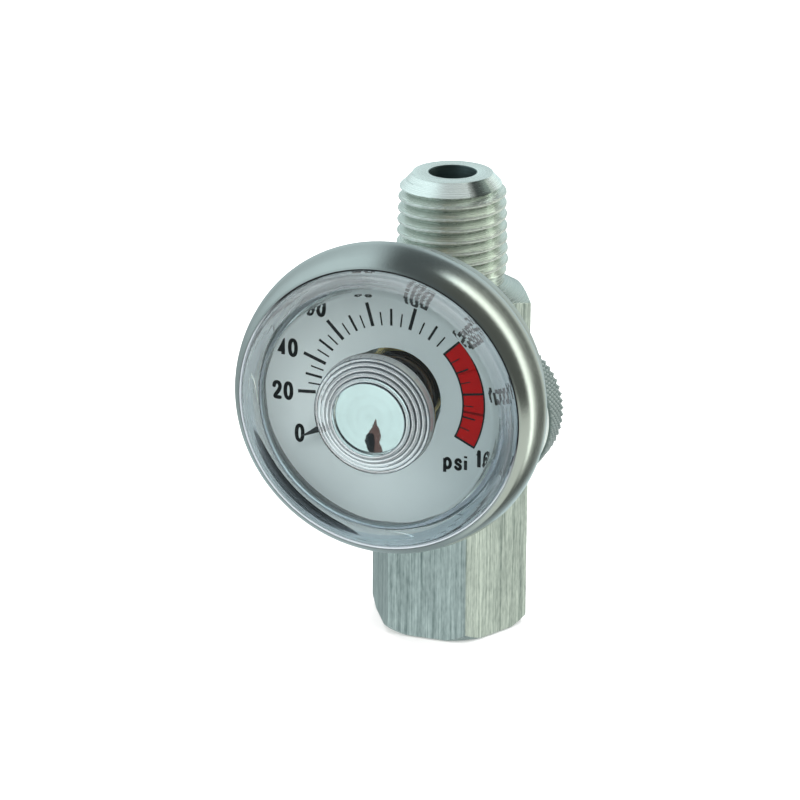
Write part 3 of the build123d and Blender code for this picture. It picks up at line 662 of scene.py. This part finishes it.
# ------------------------------------------------------------------ gauge lens
boss = [(4.4, -30.6), (4.95, -30.3), (5.5, -30.05), (6.05, -29.8), (6.55, -29.5), (7.05, -29.2)]
front = [(0, -30.6), (4.28, -30.6), (4.4, -30.6)]
for (r0, y0), (r1, y1) in zip(boss[:-1], boss[1:]):
    front += [(r0 + 0.05, y1 + 0.09), (r0 + 0.16, y1 - 0.02), (r0 + 0.32, y1 - 0.07), (r1 - 0.06, y1 - 0.05), (r1, y1 + 0.02)]
front += [(7.05, -28.2), (7.15, -27.95), (7.3, -27.95), (13.95, -27.95), (14.05, -27.95)]
bead = [(14.05 + 1.35 * t / 90, -27.95 - 0.3 * math.sin(math.radians(t))) for t in range(10, 91, 10)]
shoulder = [(15.4 + 1.35 * math.sin(math.radians(t)), -27.0 - 1.25 * math.cos(math.radians(t))) for t in range(9, 91, 9)]
inner_wall = [(13.6 + 1.8 * math.sin(math.radians(t)), -24.95 - 1.8 * math.cos(math.radians(t))) for t in range(90, -1, -9)]
back = [(16.75, -21.85), (15.9, -21.85)] + inner_wall + [(13.5, -26.75), (6.45, -26.75), (6.3, -26.75), (6.1, -27.0), (4.95, -29.3), (4.75, -29.7), (4.62, -29.7), (0, -29.7)]
whole = front + bead + shoulder + back
lens_outline = rounded(whole, lambda i: 0 if i in (0, len(whole) - 1) else 0.06, steps=3)


def lens_zone(c):
    r = math.hypot(c.x, c.z - GZ)
    if 6.46 < r < 13.6 and c.y > -26.9:
        return 4
    if r > 15.0 and c.y < -24:
        return 3
    if r < 7.2 and c.y < -29.05 and c.y < -30.62 + (r - 4.3) * 0.55 + 0.3 and r > 4.3:
        return 2
    return 1 if 4.6 < r < 6.4 and -29.75 < c.y < -26.6 else 0


lens = lathe("lens_fine", lens_outline, mats=[M_CLEAR, M_FROST, M_RINGS, M_RIM, M_WINDOW], mat_index=lens_zone, sharp=0, segs=320)
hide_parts("gauge_lens")
lens.visible_shadow = False

# ----------------------------------------------------------------------- bezel
outer = curve_points([(17.02, -27.40), (17.35, -27.22), (17.75, -26.7), (18.15, -25.75), (18.52, -24.3), (18.75, -22.7), (18.62, -21.6), (18.2, -20.85), (17.7, -20.58), (17.42, -20.56)], 72)
inner = curve_points([(17.42, -20.9), (17.65, -20.95), (18.18, -21.5), (18.36, -22.6), (18.16, -24.2), (17.74, -25.7), (17.35, -26.55), (17.02, -26.95)], 40)
bezel = lathe("bezel_fine", outer + inner, material=M_STEEL, sharp=50, segs=320)
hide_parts("gauge_bezel")


# ------------------------------------------------------------------ dial print
PRINT_Y = -21.8
DIAL_DEG = {0: -151.5, 20: -176.7, 40: -200.9, 60: -226.8, 80: -254.5, 100: -284.4, 120: -316.8, 140: -351.5, 160: -386.7}


def dial_angle(psi):
    lo = int(psi // 20) * 20
    if lo >= 160:
        return math.radians(DIAL_DEG[160])
    f = (psi - lo) / 20
    return math.radians(DIAL_DEG[lo] + (DIAL_DEG[lo + 20] - DIAL_DEG[lo]) * f)


def slab(polys, name, material, y=PRINT_Y, thick=0.02):
    """Flat printed shapes: each a list of (x, z) about the gauge axis, one face with a thin edge."""
    verts, faces = [], []
    for poly in polys:
        b = len(verts)
        n = len(poly)
        verts += [(x, y - thick, GZ + z) for x, z in poly] + [(x, y + 0.005, GZ + z) for x, z in poly]
        faces.append(tuple(range(b, b + n)))
        faces.append(tuple(reversed(range(b + n, b + 2 * n))))
        faces += [(b + i, b + (i + 1) % n, b + n + (i + 1) % n, b + n + i) for i in range(n)]
    o = new_object(name, verts, faces, material=material, sharp=20)
    return o


def bar(a, r0, r1, w):
    c, s = math.cos(a), math.sin(a)
    return [(r0 * c + w / 2 * s, r0 * s - w / 2 * c), (r1 * c + w / 2 * s, r1 * s - w / 2 * c), (r1 * c - w / 2 * s, r1 * s + w / 2 * c), (r0 * c - w / 2 * s, r0 * s + w / 2 * c)]


def arc_band(a0, a1, r0, r1, n=48):
    """Quads of a ring sector."""
    out = []
    for i in range(n):
        t0, t1 = a0 + (a1 - a0) * i / n, a0 + (a1 - a0) * (i + 1) / n
        out.append([(r0 * math.cos(t0), r0 * math.sin(t0)), (r1 * math.cos(t0), r1 * math.sin(t0)), (r1 * math.cos(t1), r1 * math.sin(t1)), (r0 * math.cos(t1), r0 * math.sin(t1))])
    return out


R_IN, R_OUT = 8.70, 11.27
ticks = []
for psi in range(20, 120, 5):
    a = dial_angle(psi)
    if psi % 20 == 0:
        ticks.append(bar(a, R_IN if psi != 20 else 9.4, 11.6, 0.40))
    elif psi % 10 == 0:
        ticks.append(bar(a, R_IN, 10.75, 0.29))
    else:
        ticks.append(bar(a, R_IN, 10.3, 0.18))
red0, red1 = dial_angle(120), dial_angle(160)
red = arc_band(red0, red1, R_IN, R_OUT)
edges = arc_band(red0, red1, R_IN - 0.10, R_IN + 0.10) + arc_band(red0, red1, R_OUT - 0.09, R_OUT + 0.09)
edges += [bar(red0, R_IN - 0.1, R_OUT + 0.09, 0.26), bar(red1, R_IN - 0.1, R_OUT + 0.09, 0.26)]
inside = [bar(dial_angle(140), R_IN, R_OUT, 0.28)]
for psi in (125, 130, 135, 145, 150, 155):
    inside.append(bar(dial_angle(psi), R_IN, 10.3 if psi % 10 == 0 else 9.95, 0.2 if psi % 10 == 0 else 0.13))
slab(ticks, "dial_ticks", M_PRINT)
slab(red, "dial_red_band", M_RED, thick=0.015)
slab(edges + inside, "dial_red_outline", M_PRINT, thick=0.03)

# numerals: upright condensed strokes, drawn as thick polylines in a 1 x 1 cell
GLYPHS = {
    "0": [[(0.5, 0.0), (0.2, 0.06), (0.03, 0.3), (0.03, 0.7), (0.2, 0.94), (0.5, 1.0), (0.8, 0.94), (0.97, 0.7), (0.97, 0.3), (0.8, 0.06), (0.5, 0.0)]],
    "1": [[(0.15, 0.72), (0.48, 0.82), (0.62, 1.0), (0.62, 0.0)]],
    "2": [[(0.03, 0.72), (0.12, 0.93), (0.48, 1.0), (0.85, 0.93), (0.95, 0.72), (0.8, 0.48), (0.35, 0.22), (0.06, 0.0), (0.97, 0.0)]],
    "4": [[(0.72, 0.0), (0.72, 1.0), (0.02, 0.28), (1.0, 0.28)]],
    "6": [[(0.92, 0.82), (0.78, 0.97), (0.5, 1.0), (0.2, 0.92), (0.04, 0.65), (0.03, 0.3), (0.2, 0.06), (0.5, 0.0), (0.82, 0.06), (0.97, 0.3), (0.82, 0.54), (0.5, 0.6), (0.2, 0.52), (0.05, 0.34)]],
    "8": [[(0.5, 0.54), (0.18, 0.62), (0.1, 0.78), (0.2, 0.94), (0.5, 1.0), (0.8, 0.94), (0.9, 0.78), (0.82, 0.62), (0.5, 0.54), (0.15, 0.46), (0.02, 0.26), (0.15, 0.06), (0.5, 0.0), (0.85, 0.06), (0.98, 0.26), (0.85, 0.46), (0.5, 0.54)]],
    "p": [[(0.06, -0.32), (0.06, 0.68)], [(0.06, 0.5), (0.3, 0.68), (0.62, 0.68), (0.92, 0.5), (0.92, 0.18), (0.62, 0.0), (0.3, 0.0), (0.06, 0.18)]],
    "s": [[(0.88, 0.55), (0.7, 0.68), (0.35, 0.68), (0.1, 0.55), (0.16, 0.41), (0.5, 0.34), (0.82, 0.27), (0.9, 0.13), (0.7, 0.0), (0.3, 0.0), (0.06, 0.13)]],
    "i": [[(0.5, 0.0), (0.5, 0.68)], [(0.5, 0.86), (0.5, 1.0)]],
}
WIDTHS = {"1": 0.62, "i": 0.32, "p": 1.0, "s": 0.95}


def smooth(pts, rounds=2):
    """Chaikin corner cutting that keeps the ends."""
    for _ in range(rounds):
        out = [pts[0]]
        for a, b in zip(pts[:-1], pts[1:]):
            out += [(a[0] * 0.75 + b[0] * 0.25, a[1] * 0.75 + b[1] * 0.25), (a[0] * 0.25 + b[0] * 0.75, a[1] * 0.25 + b[1] * 0.75)]
        out.append(pts[-1])
        pts = out
    return pts


def stroke(pts, w):
    """A polyline as quads with round joints."""
    polys = []
    for a, b in zip(pts[:-1], pts[1:]):
        d = Vector((b[0] - a[0], b[1] - a[1]))
        if d.length < 1e-6:
            continue
        d.normalize()
        nx, ny = -d.y * w / 2, d.x * w / 2
        polys.append([(a[0] + nx, a[1] + ny), (b[0] + nx, b[1] + ny), (b[0] - nx, b[1] - ny), (a[0] - nx, a[1] - ny)])
    for p in pts[1:-1]:
        polys.append([(p[0] + w / 2 * math.cos(t * math.pi / 6), p[1] + w / 2 * math.sin(t * math.pi / 6)) for t in range(12)])
    return polys


def word(text, cx, cz, height, cell=0.54, gap=0.055, weight=0.19):
    """Glyph strokes centred at (cx, cz); cell is a glyph's width over its height."""
    polys = []
    widths = [WIDTHS.get(c, 1.0) * cell * height for c in text]
    total = sum(widths) + gap * height * (len(text) - 1)
    x = cx - total / 2
    w = weight * height
    for c, gw in zip(text, widths):
        for line in GLYPHS[c]:
            pts = [(x + w / 2 + u * (gw - w), cz - height / 2 + w / 2 + v * (height - w)) for u, v in line]
            if c not in "14i" and len(pts) > 2:
                pts = smooth(pts)
            polys += stroke(pts, w)
        x += gw + gap * height
    return polys


numbers = []
R_NUM = 13.2
H = 2.35
for psi, (cx, cz) in {0: (-11.42, -5.9), 20: (-13.5, -0.8), 40: (-12.9, 4.6), 60: (-9.4, 9.92), 80: (-3.6, 13.1), 100: (3.7, 14.0), 120: (10.2, 9.5), 140: (14.0, 2.2), 160: (12.05, -6.45)}.items():
    numbers += word(str(psi), cx, cz, H)
numbers += word("psi", 7.78, -7.1, 2.1, cell=0.56, gap=0.07, weight=0.185)
slab(numbers, "dial_numbers", M_PRINT, thick=0.02)


# ------------------------------------------------------------------- the stage
def camera():
    az, el, dist, f = math.radians(17.85), math.radians(19.11), 420.5, 3453.45
    tx, ty, roll = 51.11, -62.56, math.radians(0.55)
    back = Vector((math.sin(az) * math.cos(el), -math.cos(az) * math.cos(el), math.sin(el)))
    right = Vector((math.cos(az), math.sin(az), 0))
    up = back.cross(right)
    r2 = right * math.cos(roll) + up * math.sin(roll)
    u2 = up * math.cos(roll) - right * math.sin(roll)
    # turned about its own place, so that no lens shift is needed
    axis = (-back - r2 * (tx / f) + u2 * (ty / f)).normalized()
    r3 = axis.cross(u2).normalized()
    u3 = r3.cross(axis)
    cam = bpy.data.cameras.new("camera")
    cam.sensor_width = 36.0
    cam.lens = f / 800 * 36.0
    cam.clip_start = 0.01
    cam.clip_end = 20
    obj = bpy.data.objects.new("camera", cam)
    bpy.context.scene.collection.objects.link(obj)
    place = back * dist * MM + Vector((0, 0, GZ * MM))
    obj.matrix_world = Matrix(((r3.x, u3.x, -axis.x, place.x), (r3.y, u3.y, -axis.y, place.y), (r3.z, u3.z, -axis.z, place.z), (0, 0, 0, 1)))
    bpy.context.scene.camera = obj
    return obj


cam = camera()

mesh = bpy.data.meshes.new("floor")
mesh.from_pydata([(-4, -4, 0), (4, -4, 0), (4, 4, 0), (-4, 4, 0)], [], [(0, 1, 2, 3)])
floor = bpy.data.objects.new("floor", mesh)
bpy.context.scene.collection.objects.link(floor)
fm = Mat("floor_white_sweep", Roughness=0.9)
fn = fm.noise((3, 3, 3), detail=2.0)
fm.to("Base Color", fm.mix(fn, (0.93, 0.93, 0.93), (0.95, 0.95, 0.95)))
mesh.materials.append(fm.m)
floor.location.z = -0.0002
floor.visible_glossy = False
floor.visible_transmission = False


# a dark figure in front of the gauge, seen only in its polished disc
def dark_card(name, outline, depth, a, b):
    mesh = bpy.data.meshes.new(name)
    mesh.from_pydata([(x * MM, depth, z * MM) for x, z in outline], [], [tuple(range(len(outline)))])
    o = bpy.data.objects.new(name, mesh)
    bpy.context.scene.collection.objects.link(o)
    mesh.materials.append(paint(name, a, b, rough=0.9, scale=400.0))
    o.visible_camera = False
    o.visible_diffuse = False
    o.visible_shadow = False
    o.visible_glossy = False


# glowing card behind it, for the polished disc alone: it puts a bright reflection in the disc
card_points = [(-28.6 + 6.4 * math.cos(math.radians(t)), 4.0 + 6.4 * math.sin(math.radians(t))) for t in range(0, 360, 10)]
mesh = bpy.data.meshes.new("glowing_card")
mesh.from_pydata([(x * MM, -0.1115, z * MM) for x, z in card_points], [], [tuple(range(len(card_points)))])
glowing_card = bpy.data.objects.new("glowing_card", mesh)
bpy.context.scene.collection.objects.link(glowing_card)
wm = Mat("glowing_card", Roughness=0.9)
wn = wm.noise((60, 60, 60), detail=2.0)
wm.to("Base Color", wm.mix(wn, (0.02, 0.025, 0.025), (0.03, 0.035, 0.035)))
wm.to("Emission Color", wm.mix(wn, (0.59, 0.78, 0.79), (0.66, 0.83, 0.82)))
wm.p.inputs["Emission Strength"].default_value = 1.0
mesh.materials.append(wm.m)
glowing_card.visible_camera = False
glowing_card.visible_diffuse = False
glowing_card.visible_shadow = False
glowing_card.visible_glossy = False

dark_card("dark_figure", [(-27.18, 4.73), (-26.93, 3.85), (-26.57, 3.04), (-26.33, 2.22), (-26.56, 1.09), (-26.2, 0.28), (-25.96, -0.42),
                          (-27.41, -0.79), (-28.26, -0.22), (-28.5, 0.48), (-28.74, 1.18), (-28.62, 1.93), (-28.14, 2.6), (-27.66, 3.39), (-27.42, 4.03)],
          -0.1102, (0.045, 0.025, 0.022), (0.10, 0.06, 0.055))
dark_card("dark_figure_core", [(-27.9, 2.57), (-27.41, 2.57), (-27.23, 1.98), (-27.17, 1.02), (-27.29, 0.02), (-27.47, -0.61), (-28.01, -0.44),
                               (-28.44, 0.37), (-28.68, 1.19), (-28.56, 1.94), (-28.26, 2.37)],
          -0.110, (0.003, 0.004, 0.006), (0.006, 0.008, 0.012))


def area(name, at, to, size, power, colour=(1, 1, 1)):
    light = bpy.data.lights.new(name, "AREA")
    light.shape = "RECTANGLE"
    light.size, light.size_y = size
    light.energy = power
    light.color = colour
    o = bpy.data.objects.new(name, light)
    bpy.context.scene.collection.objects.link(o)
    o.location = at
    o.rotation_euler = (Vector(to) - Vector(at)).to_track_quat("-Z", "Y").to_euler()
    o.visible_glossy = False
    o.visible_transmission = False
    o.visible_camera = False
    return o


area("key_softbox", (0.5, -0.35, 0.75), (0, 0, 0.03), (0.5, 0.5), 5.0)
area("fill_softbox", (-0.6, -0.5, 0.6), (0, 0, 0.03), (0.6, 0.6), 3.0)
area("top_softbox", (0.0, 0.3, 0.9), (0, 0, 0.03), (0.8, 0.6), 6.0)


def world():
    """Even white light for matt surfaces and the floor; metal and plastic mirror a light tent with a strip lamp."""
    w = bpy.data.worlds.new("studio")
    bpy.context.scene.world = w
    w.use_nodes = True
    t = w.node_tree
    t.nodes.clear()

    def mth(op, a, b=None, c=None):
        n = t.nodes.new("ShaderNodeMath")
        n.operation = op
        for i, v in enumerate((a, b, c)):
            if isinstance(v, bpy.types.NodeSocket):
                t.links.new(v, n.inputs[i])
            elif v is not None:
                n.inputs[i].default_value = v
        return n.outputs[0]

    def step(v, a, b, lo=0.0, hi=1.0):
        n = t.nodes.new("ShaderNodeMapRange")
        n.interpolation_type = "SMOOTHSTEP"
        t.links.new(v, n.inputs[0])
        for i, c in enumerate((a, b, lo, hi)):
            n.inputs[i + 1].default_value = c
        return n.outputs[0]

    def times(*v):
        out = v[0]
        for u in v[1:]:
            out = mth("MULTIPLY", out, u)
        return out

    def lobe(d, c0, c1, amp):
        dot = t.nodes.new("ShaderNodeVectorMath")
        dot.operation = "DOT_PRODUCT"
        t.links.new(coord, dot.inputs[0])
        dot.inputs[1].default_value = Vector(d).normalized()
        return step(dot.outputs["Value"], c0, c1, 0.0, amp)

    coord = t.nodes.new("ShaderNodeTexCoord").outputs["Generated"]
    sep = t.nodes.new("ShaderNodeSeparateXYZ")
    t.links.new(coord, sep.inputs[0])
    x, y, z = sep.outputs
    lp = t.nodes.new("ShaderNodeLightPath")
    parts = [
        # tent wall on the left, paler toward the top
        times(step(x, -0.18, -0.42), step(z, -0.55, 0.75, 0.24, 0.74), step(y, 0.95, 0.45, 0.70, 1.0)),
        # strip lamp behind on the right
        times(step(x, 0.12, 0.34), step(y, 0.42, 0.50), step(y, 0.64, 0.57), step(z, 0.95, 0.80), step(z, -0.74, -0.42), 2.3),
        # backdrop
        times(step(y, 0.77, 0.86), step(x, -0.35, 0.0, 0.22, 0.62)),
        # table on the right
        times(step(z, -0.12, -0.30), step(x, 0.0, 0.35), step(y, 0.48, 0.38), 0.66),
        # table in front and on the left
        times(step(z, -0.30, -0.55), step(x, 0.35, 0.05), 0.28),
        # white card round the camera's far side, with a dark opening at its middle
        lobe((-0.29, -0.90, -0.327), 0.93, 0.975, 0.50),
        times(lobe((-0.29, -0.90, -0.327), 0.991, 0.9965, -0.56), mth("SUBTRACT", 1.0, lp.outputs["Is Transmission Ray"])),
        # moulded plastic glows a little, except straight in front of the window
        times(lp.outputs["Is Transmission Ray"], 0.36),
        times(lobe((-0.29, -0.90, -0.327), 0.982, 0.994, -1.05), lp.outputs["Is Transmission Ray"]),
    ]
    total = mth("ADD", parts[0], 0.12)
    for q in parts[1:]:
        total = mth("ADD", total, q)
    total = mth("MAXIMUM", total, 0.02)
    plain = mth("MAXIMUM", lp.outputs["Is Camera Ray"], mth("GREATER_THAN", lp.outputs["Diffuse Depth"], 0.5))
    bg1 = t.nodes.new("ShaderNodeBackground")
    bg1.inputs[0].default_value = (1, 1, 1, 1)
    bg1.inputs[1].default_value = 1.0
    bg2 = t.nodes.new("ShaderNodeBackground")
    tint = t.nodes.new("ShaderNodeMix")
    tint.data_type = "RGBA"
    t.links.new(step(x, 0.0, 0.5), tint.inputs[0])
    tint.inputs[6].default_value = (0.80, 0.99, 1.0, 1)
    tint.inputs[7].default_value = (0.90, 1.0, 0.88, 1)
    t.links.new(tint.outputs[2], bg2.inputs[0])
    t.links.new(total, bg2.inputs[1])
    mix = t.nodes.new("ShaderNodeMixShader")
    t.links.new(plain, mix.inputs[0])
    t.links.new(bg2.outputs[0], mix.inputs[1])
    t.links.new(bg1.outputs[0], mix.inputs[2])
    out = t.nodes.new("ShaderNodeOutputWorld")
    t.links.new(mix.outputs[0], out.inputs[0])


world()
bpy.context.scene.view_settings.view_transform = "Standard"
